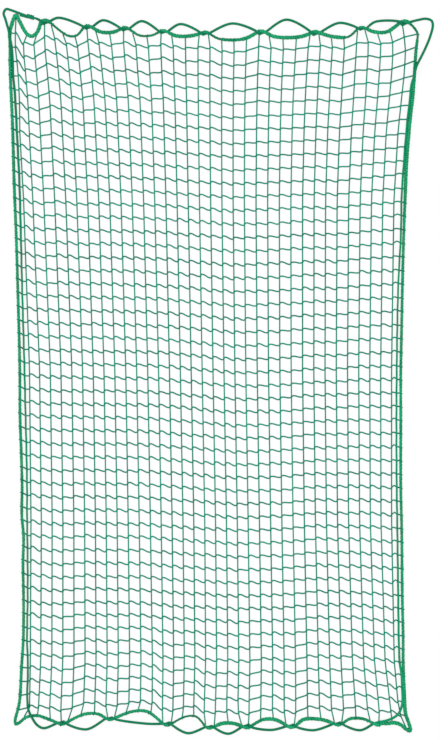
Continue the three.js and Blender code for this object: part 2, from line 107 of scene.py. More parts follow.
# The border's look at places along each edge, in x or y: its thickness as a share and how light it is.
# Some stretches are bound thickly and others hardly at all.
Look = namedtuple("Look", "size tone")
BOUND = Look(1.42, 0.1)
WIDE = Look(1.2, 0.1)
SIDE = Look(1.12, 0.1)
THIN = Look(1.2, -0.1)
BARE = Look(0.92, -0.45)
SLIM = Look(0.82, -0.45)
BORDER_LOOKS = {
    "top": (
        (-0.600, BOUND), (-0.570, BARE), (-0.460, BARE), (-0.430, BOUND), (-0.330, BOUND), (-0.300, BARE),
        (-0.205, BARE), (-0.175, BOUND), (-0.060, BOUND), (-0.030, BARE), (0.045, BARE), (0.075, BOUND),
        (0.420, BOUND), (0.435, BARE), (0.470, BARE), (0.500, BOUND), (0.620, BOUND), (0.650, BARE),
    ),
    "bottom": (
        (-0.190, WIDE), (-0.155, SLIM), (-0.050, SLIM), (-0.015, BOUND), (0.100, BOUND), (0.115, THIN),
        (0.145, THIN), (0.160, BOUND), (0.415, BOUND), (0.430, THIN), (0.520, THIN), (0.550, BOUND),
    ),
    "left": ((-1.08, WIDE), (-0.95, SIDE), (0.45, SIDE), (0.60, WIDE)),
    "right": ((-1.10, BOUND), (-0.95, SIDE), (0.50, SIDE), (0.65, BOUND), (0.95, BOUND), (1.08, THIN)),
}
EDGE_FROM = 1.13  # the short edges' looks hold from this far out along the net
UNEVEN_SIZE = 0.06  # how much the border's thickness changes from one place to the next
UNEVEN_STEP = 0.013
UNEVEN_SEED = 5

# The elastic's look in the same way: along the sides it is stretched thin
ELASTIC_LOOKS = {
    "top": ((0.0, Look(1.1, 0.0)),),
    "bottom": ((0.520, Look(1.1, 0.0)), (0.555, Look(1.1, 1.0))),
    "left": (
        (-1.13, Look(1.0, 0.3)), (-0.90, Look(0.85, 0.8)), (0.30, Look(0.85, 0.7)), (0.55, Look(1.0, 0.4)),
        (1.05, Look(1.1, 0.0)),
    ),
    "right": (
        (-1.03, Look(1.1, 1.2)), (-0.95, Look(0.95, 0.9)), (-0.40, Look(0.85, 0.8)), (0.30, Look(0.8, 0.8)),
        (0.55, Look(0.9, 0.6)), (0.70, Look(0.9, 0.7)), (0.95, Look(1.0, 0.7)), (1.08, Look(1.1, 0.0)),
    ),
}

# The long sides in the order that the elastic runs: down the right side, up the left
Side = namedtuple("Side", "y border elastic")
RIGHT_SIDE = [Side(*row) for row in (
    (0.955, 0.662, 0.653), (0.930, 0.660, 0.651), (0.841, 0.650, 0.641), (0.708, 0.639, 0.630),
    (0.602, 0.635, 0.623), (0.463, 0.630, 0.620), (0.313, 0.626, 0.612), (0.160, 0.623, 0.608),
    (0.000, 0.620, 0.606), (-0.160, 0.620, 0.605), (-0.398, 0.620, 0.606), (-0.531, 0.623, 0.608),
    (-0.759, 0.625, 0.611), (-0.909, 0.628, 0.613), (-0.987, 0.628, 0.616), (-1.029, 0.629, 0.622),
    (-1.084, 0.631, 0.625), (-1.127, 0.633, 0.625),
)]
LEFT_SIDE = [Side(*row) for row in (
    (-1.106, -0.675, -0.650), (-1.007, -0.670, -0.648), (-0.909, -0.664, -0.651), (-0.780, -0.663, -0.649),
    (-0.650, -0.665, -0.649), (-0.562, -0.663, -0.650), (-0.487, -0.669, -0.651), (-0.395, -0.668, -0.651),
    (-0.272, -0.671, -0.653), (-0.153, -0.675, -0.656), (0.017, -0.676, -0.660), (0.259, -0.682, -0.667),
    (0.460, -0.688, -0.672), (0.643, -0.695, -0.677), (0.824, -0.700, -0.686), (0.940, -0.705, -0.692),
    (1.004, -0.708, -0.698), (1.062, -0.709, -0.700),
)]

# The border's corners as x and y, each in the order that the elastic runs
BORDER_TOP_RIGHT = (
    (0.663, 1.172), (0.677, 1.150), (0.676, 1.127), (0.672, 1.096), (0.669, 1.055), (0.666, 1.005),
)
BORDER_BOTTOM_RIGHT = (
    (0.636, -1.163), (0.645, -1.190), (0.652, -1.213), (0.651, -1.222),
    (0.637, -1.215), (0.618, -1.200), (0.598, -1.194), (0.572, -1.197),
)
BORDER_BOTTOM_LEFT = (
    (-0.586, -1.179), (-0.614, -1.170), (-0.636, -1.171), (-0.657, -1.177),
    (-0.675, -1.192), (-0.689, -1.199), (-0.692, -1.190), (-0.689, -1.173), (-0.680, -1.140),
)
BORDER_TOP_LEFT = (
    (-0.709, 1.100), (-0.710, 1.138), (-0.709, 1.158), (-0.704, 1.176), (-0.698, 1.196),
    (-0.690, 1.212), (-0.685, 1.210), (-0.680, 1.198), (-0.672, 1.183), (-0.663, 1.165),
    (-0.651, 1.148), (-0.636, 1.140), (-0.620, 1.149), (-0.611, 1.165),
)

# The elastic's corners as x, y and the height of its middle, by name where it rests on something
ELASTIC_TOP_RIGHT = (
    (0.679, 1.196, "floor"), (0.707, 1.200, "floor"), (0.725, 1.193, "floor"),
    (0.729, 1.177, "floor"), (0.719, 1.137, "floor"), (0.702, 1.096, "floor"),
    (0.687, 1.066, 0.008), (0.673, 1.038, "border"), (0.664, 1.004, "border"), (0.656, 0.976, 0.009),
)
ELASTIC_BOTTOM_RIGHT = (
    (0.619, -1.149, "net"), (0.610, -1.165, "net"), (0.590, -1.179, "net"), (0.564, -1.188, "net"),
)
ELASTIC_BOTTOM_LEFT = (
    (-0.595, -1.213, "floor"), (-0.617, -1.201, 0.008), (-0.635, -1.171, "border"), (-0.646, -1.148, 0.010),
)
ELASTIC_TOP_LEFT = (
    (-0.703, 1.105, 0.012), (-0.708, 1.133, "border"), (-0.713, 1.160, "border"),
    (-0.719, 1.179, 0.008), (-0.725, 1.199, "floor"), (-0.731, 1.219, "floor"),
    (-0.722, 1.233, "floor"), (-0.706, 1.229, 0.007), (-0.691, 1.223, 0.011),
)

# The knot in the elastic
KNOT_LENGTH = 0.034
KNOT_RADIUS = 0.007
KNOT_LEAD = 0.006
KNOT_TUCK = 0.002  # how far the cord's two ends reach into it
KNOT_CORE = 0.95  # the cord's thickness in it as a share, and at its ends
KNOT_END = 0.92
KNOT_TAPER = 0.012  # the length over which the cord is drawn thin
KNOT_MIDDLE = (-0.639, 1.206)
KNOT_ANGLE = math.radians(-16.5)
KNOT_TAIL = ((-0.648, 1.204, 0.008), (-0.660, 1.208, 0.006), (-0.676, 1.2125, "floor"))

# Upright strands: x of some of them at nine heights, and of some at their ends on the two short edges
STRAND_COLUMNS = (1, 2, 9, 12, 17, 21, 26, 31, 33, 34)
STRAND_ROWS = (
    (1.112, (-0.692, -0.666, -0.406, -0.281, -0.070, 0.095, 0.306, 0.511, 0.595, 0.637)),
    (1.020, (-0.682, -0.657, -0.396, -0.275, -0.070, 0.092, 0.300, 0.505, 0.590, 0.633)),
    (0.922, (-0.677, -0.649, -0.386, -0.267, -0.069, 0.090, 0.295, 0.500, 0.581, 0.622)),
    (0.815, (-0.676, -0.644, -0.381, -0.263, -0.068, 0.089, 0.291, 0.492, 0.571, 0.611)),
    (0.582, (-0.663, -0.632, -0.370, -0.255, -0.065, 0.088, 0.286, 0.482, 0.559, 0.597)),
    (0.007, (-0.643, -0.609, -0.353, -0.241, -0.056, 0.093, 0.286, 0.477, 0.552, 0.589)),
    (-0.507, (-0.638, -0.603, -0.345, -0.232, -0.047, 0.101, 0.292, 0.480, 0.553, 0.589)),
    (-0.984, (-0.640, -0.605, -0.341, -0.225, -0.044, 0.107, 0.301, 0.494, 0.567, 0.598)),
    (-1.150, (-0.643, -0.613, -0.345, -0.226, -0.049, 0.104, 0.303, 0.507, 0.586, 0.613)),
)
TOP_STRAND_ENDS = {1: -0.690, 2: -0.650, 34: 0.623}
BOTTOM_STRAND_ENDS = {1: -0.657, 33: 0.591, 34: 0.636}

# Rows: y of five of them at some of the upright strands, where the scallops don't pull on them
ROW_STRANDS = (1, 2, 3, 4, 6, 8, 11, 14, 20, 24, 27, 29, 31, 34)
ROW_HEIGHTS = (
    (1, (1.126, 1.134, 1.127, 1.120, 1.123, 1.118, 1.110, 1.111, 1.087, 1.097, 1.105, 1.110, 1.114, 1.129)),
    (9, (0.768, 0.759, 0.755, 0.763, 0.752, 0.754, 0.750, 0.746, 0.730, 0.737, 0.742, 0.740, 0.750, 0.762)),
    (25, (
        0.032, 0.029, 0.027, 0.026, 0.024, 0.024, 0.022, 0.017, -0.005, -0.001, 0.009, 0.010,
        0.017, 0.019,
    )),
    (41, (
        -0.691, -0.695, -0.700, -0.701, -0.694, -0.698, -0.698, -0.708, -0.720, -0.715, -0.703, -0.705,
        -0.708, -0.716,
    )),
    (51, (
        -1.150, -1.159, -1.148, -1.147, -1.134, -1.136, -1.139, -1.152, -1.159, -1.159, -1.146, -1.142,
        -1.148, -1.167,
    )),
)
EDGE_MESH = 0.0425
SCALLOP_SHARE = 0.6
SCALLOP_ROWS = 8
ROW_DRIFT = 0.0012  # how far a joint is off the even lay
DRIFT_SEED = 7

# A bar between two joints: how far along it, and how far off the straight line in bar steps
BAR_BEND = ((0.11, 1.0), (0.21, 1.1), (0.36, 0.7), (0.69, -0.75), (0.85, -1.05))
BAR_LEAVES = 0.75
BAR_COMES = 0.85
FIRST_COMES = 0.3
BAR_VARIATION = 0.3
TWINE_SEED = 11
CALM_ROWS = (7, 13)  # towards the upper right the bars are drawn straighter
CALM_STRANDS = (12, 21)
CALM_LOSS = 0.5
TAUT_RISE = 0.3  # a bar that rises this steeply to the right is taut, nearly straight
TAUT_SHARE = 0.25
LEFT_SLACK = 1.4  # the first bar of a row hangs slacker than the rest
LEFT_END_ROWS = (3, 8, 44, 48, 51)
LEFT_END_RISES = (0, 0.007, 0.005, 0, -0.008)  # how much higher a row meets the border than its joint
LEFT_DIP = 0.0015  # how much lower it passes the elastic
RIGHT_END_ROWS = (3, 7)
RIGHT_END_RISE = 0.010
RIGHT_HUMP_AT = 0.5  # how far towards the elastic the last bar is highest
RIGHT_HUMPS = (1.0, 2.2, 0.6, 1.3, 1.9)  # how high it is in bar steps, from row to row
RIGHT_HUMP_KEPT = 0.6  # the share of what is past one step that it keeps at the elastic
JOINT_SWELL = (1.12, 1.28)  # how thick a strand is at its joints, from and to
JOINT_HALF_WIDTH = 0.0022
JOINT_HALF_HEIGHT = 0.005
STRAND_TONE = 0.3  # how much lighter or darker one strand is than another
WRAP_DEGREES = (-25, 25, 75, 125, 175, 230, 300)
WRAP_SPREAD = 0.004
WRAP_SIZE = 0.6  # the twine is pulled thin there
WRAP_BITE = 0.2  # how far its middle stands out of the border, in its own radii
BOUND_IN_FROM = 1.31  # where the border is thicker than this share, the turns are bound in
BOUND_IN_REACH = 0.7

# Where the elastic is woven through the rows of the long sides, from and to in y
SIDE_FROM = 0.55
WEAVE_REACH = {1: (-1.10, 0.94), -1: (-1.09, 1.05)}
WEAVE_FADE = 0.03
WEAVE_NEAR = 0.03  # how far along the elastic a row looks for it

# How finely lines are drawn
SPAN_POINTS = 24
BORDER_STEP = 0.004
ELASTIC_STEP = 0.003
KNOT_STEP = 0.0012
TWINE_SIDES = 5
THREAD_SIDES = 5
ROPE_SIDES = 15
CORD_SIDES = 12

# Looks of the ropes and of the floor
ROPE_LOBE = 0.09  # how deep the grooves between its strands are, as a share of its radius
THREAD_OUT = 0.7  # how much of the thread stands out of the rope, as a share
PLAIT_TURN = 0.012  # lengths of one whole turn of the fine patterns
YARN_TURN = 0.030
PLY_TURN = 0.005
BRAID_TURN = 0.030
FLOOR_GLOW = 0.85  # the floor is a lit table, so hardly any shadow falls on it


def length(name, description, default):
    return bpy.props.FloatProperty(
        name=name, description=description, default=default, min=0.0001, max=1, precision=4, unit="LENGTH"
    )


def colour(name, description, default):
    return bpy.props.FloatVectorProperty(
        name=name, description=description, default=default, size=3, min=0, max=1, subtype="COLOR"
    )


class NetSizes(bpy.types.PropertyGroup):
    """Thicknesses and spacings of the net's twine, ropes and cords."""

    upright: length("Upright twine", "Thickness of the strands that run along the net", 0.0048)
    bar: length("Bar twine", "Thickness of the rows that run across the net", 0.0054)
    bar_step: length("Bar step", "How far a bar leaves one joint high and meets the next one low", 0.0038)
    border: length("Border", "Thickness of the border with its whipping", 0.010)
    border_lay: length("Border lay", "Length of one turn of the border's three strands", 0.036)
    thread: length("Whipping thread", "Thickness of the thread round the border", 0.0016)
    whip_pitch: length("Whipping pitch", "Distance between two turns of the thread", 0.0075)
    elastic: length("Elastic cord", "Thickness of the elastic cord", 0.008)
    knot_pitch: length("Knot pitch", "Distance between two turns of the knot", 0.0062)


class NetColours(bpy.types.PropertyGroup):
    """Colours of the net's twine, ropes, cords and of the floor."""

    twine: colour("Twine", "Middle colour of the mesh twine", (0.006, 0.300, 0.196))
    border: colour("Border", "Middle colour of the border rope", (0.012, 0.362, 0.158))
    thread: colour("Thread", "Middle colour of the whipping thread", (0.024, 0.465, 0.203))
    elastic: colour("Elastic", "Middle colour of the elastic's sleeve", (0.006, 0.240, 0.108))
    floor: colour("Floor", "Colour of the studio floor", (0.15, 0.15, 0.15))


def smooth_line(points, closed, step):
    """A smooth line through points, in even steps. A closed one ends where it starts."""
    points = np.asarray(points, float)
    if closed:
        chain = np.concatenate([points[-1:], points, points[:2]])
    else:
        chain = np.concatenate([2 * points[:1] - points[1:2], points, 2 * points[-1:] - points[-2:-1]])
    gap = np.sqrt(np.linalg.norm(np.diff(chain, axis=0), axis=1))[:, None]
    a, b, c, d = (chain[k : len(chain) - 3 + k] for k in range(4))
    before, here, after = (gap[k : len(gap) - 2 + k] for k in range(3))
    leaving = here * ((b - a) / before - (c - a) / (before + here) + (c - b) / here)
    coming = here * ((c - b) / here - (d - b) / (here + after) + (d - c) / after)
    share = np.linspace(0, 1, SPAN_POINTS, endpoint=False)[None, :, None]
    b, c, leaving, coming = (v[:, None, :] for v in (b, c, leaving, coming))
    bend = 3 * (c - b) - 2 * leaving - coming
    ease = 2 * (b - c) + leaving + coming
    line = (b + share * leaving + share**2 * bend + share**3 * ease).reshape(-1, 3)
    line = np.concatenate([line, points[:1] if closed else points[-1:]])
    along = np.concatenate([[0], np.cumsum(np.linalg.norm(np.diff(line, axis=0), axis=1))])
    places = np.linspace(0, along[-1], int(round(along[-1] / step)) + 1)
    return np.stack([np.interp(places, along, line[:, k]) for k in range(3)], axis=1)


def run_on(places, values, wanted):
    """Values read between rising places, run on past both ends."""
    places = np.asarray(places, float)
    values = np.asarray(values, float)
    k = np.clip(np.searchsorted(places, wanted, side="right") - 1, 0, len(places) - 2)
    share = (wanted - places[k]) / (places[k + 1] - places[k])
    return values[k] + share * (values[k + 1] - values[k])


def unit(vector):
    return vector / np.linalg.norm(vector)


def run_length(points):
    return float(np.linalg.norm(np.diff(points, axis=0), axis=1).sum())


Line = namedtuple("Line", "points sizes tones closed")


class NetLay:
    """Where every rope and strand runs, worked out from the tables and the sizes."""

    def __init__(self, sizes):
        self.sizes = sizes
        self.border_rest = sizes.border / 2
        self.elastic_rest = sizes.elastic / 2
        self.heights = {
            "floor": self.elastic_rest,
            "net": sizes.bar + self.elastic_rest,
            "border": sizes.border * CROSSED_BORDER + self.elastic_rest,
        }
        self.border = smooth_line(self.border_points(), True, BORDER_STEP)
        self.border_sizes, self.border_tones = self.border_looks()
        self.border[:, 2] = np.maximum(self.border[:, 2], self.border_rest * self.border_sizes)
        self.elastic = smooth_line(self.elastic_points(), False, ELASTIC_STEP)
        self.elastic_sizes, self.elastic_tones = self.looks(self.elastic, ELASTIC_LOOKS, LACED_ELASTIC)
        steps = np.arange(len(self.elastic))
        from_end = np.minimum(steps, steps[::-1]) * ELASTIC_STEP
        drawn = np.interp(from_end, (0, KNOT_TAPER), (1, 0))
        self.elastic_sizes += drawn * (KNOT_END - self.elastic_sizes)
        self.elastic[:, 2] = np.maximum(self.elastic[:, 2], self.elastic_rest * self.elastic_sizes)
        self.joints, self.strand_ends = self.crossings()
        self.weave()
        self.shift = -np.array([*NET_MIDDLE, 0])

    def at_height(self, points):
        return [(x, y, self.heights.get(z, z)) for x, y, z in points]

    def lace(self, peak):
        """How far apart the middles of the two ropes are where they are laced."""
        reach = self.border_rest * LACED_BORDER + self.elastic_rest * LACED_ELASTIC
        return reach * peak.full - LACE_PRESS

    def border_station(self, peak, along, station):
        lift = self.elastic_rest + self.lace(peak) - self.border_rest
        return np.array([
            peak.x + along * station.along * LACE_REACH,
            peak.y + along * (BORDER_PEAK_OUT - LACE_DROP * station.along**2),
            self.border_rest + lift * station.lift,
        ])

    def elastic_station(self, peak, along, station):
        turn = math.radians(station.turn)
        slope = 2 * LACE_DROP * station.along / LACE_REACH
        place = self.border_station(peak, along, station)
        place[1] -= along * self.lace(peak) * math.sin(turn) * math.hypot(1, slope)
        place[2] = max(place[2] + self.lace(peak) * math.cos(turn), self.elastic_rest)
        return place

    def border_edge(self, peaks, along):
        points = []
        for peak in peaks:
            points += [self.border_station(peak, along, s) for s in LACE_STATIONS]
            if peak.sag_x is not None:
                for end in (-along, along):
                    points.append((peak.sag_x + end * peak.flat / 2, peak.sag_y, self.border_rest))
        return points

    def elastic_edge(self, peaks, along, from_inside):
        points = []
        for peak in peaks:
            stations = LACE_STATIONS[2:] if from_inside and peak is peaks[0] else LACE_STATIONS
            points += [self.elastic_station(peak, along, station) for station in stations]
            if peak.crest_x is not None:
                points.append((peak.crest_x, peak.crest_y, self.elastic_rest))
        return points

    def border_points(self):
        def corner(points):
            return [(x, y, self.border_rest) for x, y in points]

        def side(rows):
            return [(row.border, row.y, self.border_rest) for row in rows]

        return (
            self.border_edge(TOP_PEAKS, 1) + corner(BORDER_TOP_RIGHT) + side(RIGHT_SIDE)
            + corner(BORDER_BOTTOM_RIGHT) + self.border_edge(BOTTOM_PEAKS, -1)
            + corner(BORDER_BOTTOM_LEFT) + side(LEFT_SIDE) + corner(BORDER_TOP_LEFT)
        )

    def elastic_points(self):
        def side(rows):
            return [(row.elastic, row.y, self.heights["net"]) for row in rows]

        return (
            [self.beside_knot(1, -KNOT_TUCK), self.beside_knot(1, KNOT_LEAD)]
            + self.elastic_edge(TOP_PEAKS, 1, False) + self.at_height(ELASTIC_TOP_RIGHT)
            + side(RIGHT_SIDE) + self.at_height(ELASTIC_BOTTOM_RIGHT)
            + self.elastic_edge(BOTTOM_PEAKS, -1, True) + self.at_height(ELASTIC_BOTTOM_LEFT)
            + side(LEFT_SIDE) + self.at_height(ELASTIC_TOP_LEFT)
            + [self.beside_knot(-1, KNOT_LEAD), self.beside_knot(-1, -KNOT_TUCK)]
        )

    def beside_knot(self, side, distance):
        out = side * (KNOT_LENGTH / 2 + distance)
        x, y = KNOT_MIDDLE
        return (x + out * math.cos(KNOT_ANGLE), y + out * math.sin(KNOT_ANGLE), KNOT_RADIUS)

    def border_place(self, axis, value, side):
        """Where the border crosses a value of x or y, on one side, and the way that it runs there."""
        a, b = self.border[:-1], self.border[1:]
        crosses = (a[:, axis] - value) * (b[:, axis] - value) <= 0
        crosses &= a[:, axis] != b[:, axis]
        a, b = a[crosses], b[crosses]
        places = a + ((value - a[:, axis]) / (b[:, axis] - a[:, axis]))[:, None] * (b - a)
        outermost = np.argmax(side * places[:, 1 - axis])
        return places[outermost], unit(b[outermost] - a[outermost])

    def edge_places(self, peaks, ends):
        """The strands whose place on a short edge is known: two beside each lacing and the outer ones."""
        known = dict(ends)
        for peak in peaks:
            known.setdefault(peak.mesh - 0.5, peak.x + peak.lower)
            known.setdefault(peak.mesh + 0.5, peak.x + peak.upper)
        return zip(*sorted(known.items()))

    def crossings(self):
        """Every joint of the mesh as x and y, and each strand's two ends on the border."""
        rows = np.arange(1, MESHES_ALONG)
        joints = np.zeros((MESHES_ACROSS - 1, len(rows), 2))
        strand_ends = []
        top_strands, top_x = self.edge_places(TOP_PEAKS, TOP_STRAND_ENDS)
        bottom_strands, bottom_x = self.edge_places(BOTTOM_PEAKS, BOTTOM_STRAND_ENDS)
        row_numbers = [row for row, _ in ROW_HEIGHTS]
        drift = np.random.default_rng(DRIFT_SEED)
        for strand in range(1, MESHES_ACROSS):
            top = self.border_place(0, run_on(top_strands, top_x, strand), 1)
            bottom = self.border_place(0, run_on(bottom_strands, bottom_x, strand), -1)
            strand_ends.append((top, bottom))
            levels = [run_on(ROW_STRANDS, y, strand) for _, y in ROW_HEIGHTS]
            top_pull = top[0][1] - levels[0] - EDGE_MESH
            bottom_pull = bottom[0][1] - levels[-1] + EDGE_MESH
            y = run_on(row_numbers, levels, rows) + ROW_DRIFT * drift.uniform(-1, 1, len(rows))
            y += top_pull * SCALLOP_SHARE * np.clip(1 - (rows - 1) / SCALLOP_ROWS, 0, 1)
            y += bottom_pull * SCALLOP_SHARE * np.clip(1 - (rows[-1] - rows) / SCALLOP_ROWS, 0, 1)
            heights = [bottom[0][1]] + [height for height, _ in STRAND_ROWS[::-1]] + [top[0][1]]
            across = [run_on(STRAND_COLUMNS, x, strand) for _, x in STRAND_ROWS[::-1]]
            joints[strand - 1, :, 0] = run_on(heights, [bottom[0][0], *across, top[0][0]], y)
            joints[strand - 1, :, 1] = y
        return joints, strand_ends

    def weave(self):
        """Takes the elastic under every second row of the long sides and over the rows between."""
        for side, strand in ((1, -1), (-1, 0)):
            low, high = WEAVE_REACH[side]
            x, y = self.elastic[:, 0], self.elastic[:, 1]
            woven = (x * side > SIDE_FROM) & (y > low) & (y < high)
            y = y[woven]
            row = np.interp(y, self.joints[strand, ::-1, 1], np.arange(MESHES_ALONG - 1, 0, -1))
            rest = self.elastic_rest * np.maximum(self.elastic_sizes[woven], 1)
            height = rest + self.sizes.bar * (1 + np.cos(math.pi * row)) / 2
            fade = np.clip(np.minimum(y - low, high - y) / WEAVE_FADE, 0, 1)
            self.elastic[woven, 2] += fade * (height - self.elastic[woven, 2])

    def beside_elastic(self, row, side, y):
        """Where a row passes the woven elastic, over it or under it. None where it isn't woven."""
        low, high = WEAVE_REACH[side]
        if not low < y < high:
            return None
        away = np.abs(self.elastic[:, 1] - y)
        near = self.elastic[(self.elastic[:, 0] * side > SIDE_FROM) & (away < WEAVE_NEAR)]
        near = near[np.argsort(near[:, 1])]
        radius = self.sizes.bar / 2
        over = row % 2 == 1
        height = np.interp(y, near[:, 1], near[:, 2]) + self.elastic_rest + radius if over else radius
        return np.interp(y, near[:, 1], near[:, 0]), height

    def looks(self, points, table, laced):
        """Thickness as a share and tone along a rope, by its place on an edge and the lacing near it."""
        peaks = TOP_PEAKS + BOTTOM_PEAKS
        middles = np.array([(peak.x, peak.y) for peak in peaks])
        sizes = []
        tones = []
        for x, y, _ in points:
            if abs(y) > EDGE_FROM:
                rows, at = table["top" if y > 0 else "bottom"], x
            else:
                rows, at = table["right" if x > 0 else "left"], y
            places, kinds = zip(*rows)
            size, tone = (np.interp(at, places, values) for values in zip(*kinds))
            away = np.hypot(*(middles - (x, y)).T)
            full = peaks[away.argmin()].full
            near = np.interp(away.min(), LACE_NEAR, (1, 0))
            sizes.append(size + near * (laced * full - size))
            # the lacing adds a painted highlight to the tone
            tones.append(tone + near * LACE_HIGHLIGHT)
        return np.array(sizes), np.array(tones)

    def border_looks(self):
        """The border's thickness and tone along it. Its binding is a little uneven."""
        sizes, tones = self.looks(self.border, BORDER_LOOKS, LACED_BORDER)
        places = np.linspace(0, 1, round(run_length(self.border) / UNEVEN_STEP))
        uneven = np.random.default_rng(UNEVEN_SEED).uniform(-1, 1, len(places))
        uneven[-1] = uneven[0]
        along = np.linspace(0, 1, len(self.border))
        return sizes * (1 + UNEVEN_SIZE * np.interp(along, places, uneven)), tones

    def line(self, points, sizes, tones, closed=False):
        """A rope's line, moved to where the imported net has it."""
        return Line(np.asarray(points) + self.shift, sizes, tones, closed)

    def border_line(self):
        return self.line(self.border[:-1], self.border_sizes[:-1], self.border_tones[:-1], True)

    def wrap(self, place, tangent, inward, radius):
        """The turn that a strand's end takes round the border, from the net's side."""
        level = unit(np.cross((0, 0, 1), tangent))
        level *= np.sign(level @ inward)
        up = np.cross(level, tangent)
        up *= np.sign(up[2])
        radius = radius * WRAP_SIZE
        nearest = np.argmin(np.linalg.norm(self.border - place, axis=1))
        share = self.border_sizes[nearest]
        reach = self.border_rest * (share if share < BOUND_IN_FROM else BOUND_IN_REACH) + WRAP_BITE * radius
        spread = np.linspace(0, WRAP_SPREAD, len(WRAP_DEGREES))
        turn = []
        for degrees, beside in zip(WRAP_DEGREES, spread):
            angle = math.radians(degrees)
            point = place + reach * (math.cos(angle) * level + math.sin(angle) * up) + beside * tangent
            point[2] = max(point[2], radius)
            turn.append(point)
        return turn


def strand_line(lay, strand, draw):
    """One upright strand, swollen at its joints, with a turn round the border at each end."""
    radius = lay.sizes.upright / 2
    joints = lay.joints[strand]
    (top, top_way), (bottom, bottom_way) = lay.strand_ends[strand]
    stops = np.vstack([top[:2], joints, bottom[:2]])
    points = lay.wrap(top, top_way, np.array([0, -1, 0]), radius)[::-1]
    sizes = [WRAP_SIZE] * (len(points) - 1) + [1.0]
    swell = draw.uniform(*JOINT_SWELL, len(joints))
    for k in range(1, len(stops) - 1):
        above = unit(stops[k - 1] - stops[k]) * JOINT_HALF_HEIGHT
        below = unit(stops[k + 1] - stops[k]) * JOINT_HALF_HEIGHT
        points += [(*(stops[k] + above), radius), (*stops[k], radius * swell[k - 1])]
        points.append((*(stops[k] + below), radius))
        sizes += [1.0, swell[k - 1], 1.0]
    turn = lay.wrap(bottom, bottom_way, np.array([0, 1, 0]), radius)
    points += turn
    sizes += [1.0] + [WRAP_SIZE] * (len(turn) - 1)
    return points, sizes


def row_line(lay, row, draw):
    """One row from border to border. Each bar leaves a joint high and comes to the next one low."""
    radius = lay.sizes.bar / 2
    joints = lay.joints[:, row - 1]
    rise = np.diff(joints[:, 1]) / np.diff(joints[:, 0])
    calm = np.interp(row, CALM_ROWS, (1, 0)) * np.interp(range(len(rise)), CALM_STRANDS, (0, 1))
    steps = lay.sizes.bar_step * (1 - CALM_LOSS * calm) * np.interp(rise, (0, TAUT_RISE), (1, TAUT_SHARE))
    steps[0] *= LEFT_SLACK
    left = joints[0]
    right = joints[-1]
    start_y = left[1] + np.interp(row, LEFT_END_ROWS, LEFT_END_RISES)
    place, way = lay.border_place(1, start_y, -1)
    points = lay.wrap(place, way, np.array([1, 0, 0]), radius)[::-1]
    left_turn = len(points)
    beside = lay.beside_elastic(row, -1, left[1])
    if beside:
        points.append((beside[0], left[1] - LEFT_DIP, beside[1]))
    for k, (x, y) in enumerate(joints):
        comes = BAR_COMES * steps[k - 1] if k else FIRST_COMES * steps[0]
        points.append((x - JOINT_HALF_WIDTH, y - comes, radius))
        points.append((x + JOINT_HALF_WIDTH, y + BAR_LEAVES * steps[min(k, len(steps) - 1)], radius))
        if k < len(steps):
            next_x, next_y = joints[k + 1]
            hump, trough = steps[k] * (1 + BAR_VARIATION * draw.uniform(-1, 1, 2))
            for share, off in BAR_BEND:
                off *= hump if off > 0 else trough
                points.append((x + share * (next_x - x), y + share * (next_y - y) + off, radius))
    end_y = right[1] + RIGHT_END_RISE * np.interp(row, RIGHT_END_ROWS, (1, 0))
    beside = lay.beside_elastic(row, 1, right[1])
    if beside:
        hump = RIGHT_HUMPS[row % len(RIGHT_HUMPS)] * steps[-1]
        points.append((right[0] + RIGHT_HUMP_AT * (beside[0] - right[0]), right[1] + hump, radius))
        kept = RIGHT_HUMP_KEPT * (hump - steps[-1])
        points.append((beside[0], (right[1] + end_y) / 2 + kept, beside[1]))
    place, way = lay.border_place(1, end_y, 1)
    turn = lay.wrap(place, way, np.array([-1, 0, 0]), radius)
    thickness = lay.sizes.bar / lay.sizes.upright
    sizes = np.full(len(points) + len(turn), thickness)
    sizes[: left_turn - 1] *= WRAP_SIZE
    sizes[len(points) + 1 :] *= WRAP_SIZE
    return points + turn, sizes


class Field:
    """A node's output, on which sums are written as on a number."""

    def __init__(self, sheet, socket):
        self.sheet = sheet
        self.socket = socket

    def __add__(self, other):
        return self.sheet.math("ADD", self, other)

    def __mul__(self, other):
        return self.sheet.math("MULTIPLY", self, other)

    __radd__ = __add__
    __rmul__ = __mul__

    def __sub__(self, other):
        return self.sheet.math("SUBTRACT", self, other)

    def __rsub__(self, other):
        return self.sheet.math("SUBTRACT", other, self)

    def __truediv__(self, other):
        return self.sheet.math("DIVIDE", self, other)

    def __rtruediv__(self, other):
        return self.sheet.math("DIVIDE", other, self)

    def sin(self):
        return self.sheet.math("SINE", self)

    def cos(self):
        return self.sheet.math("COSINE", self)


class Sheet:
    """A node tree in the making. Every node comes from one method."""

    def __init__(self, tree):
        self.tree = tree
        tree.nodes.clear()

    def node(self, kind, values=None, output=0, **settings):
        made = self.tree.nodes.new(kind)
        for name, setting in settings.items():
            setattr(made, name, setting)
        for name, value in (values or {}).items():
            if isinstance(value, Field):
                self.tree.links.new(value.socket, made.inputs[name])
            else:
                made.inputs[name].default_value = value
        return Field(self, made.outputs[output]) if made.outputs else None

    def math(self, operation, *values):
        return self.node("ShaderNodeMath", dict(enumerate(values)), operation=operation)

    def vector(self, operation, a, b):
        return self.node("ShaderNodeVectorMath", {0: a, 1: b}, operation=operation)

    def scaled(self, vector, size):
        return self.node("ShaderNodeVectorMath", {0: vector, "Scale": size}, operation="SCALE")

    def mix(self, share, a, b):
        """Between two colours, which are the node's inputs 6 and 7."""
        values = {0: share, 6: a, 7: b}
        return self.node("ShaderNodeMix", values, output=2, data_type="RGBA", clamp_factor=True)

    def angle_of(self, vector):
        x, y = (self.node("ShaderNodeSeparateXYZ", {0: vector}, output=axis) for axis in "XY")
        return self.math("ARCTAN2", y, x)


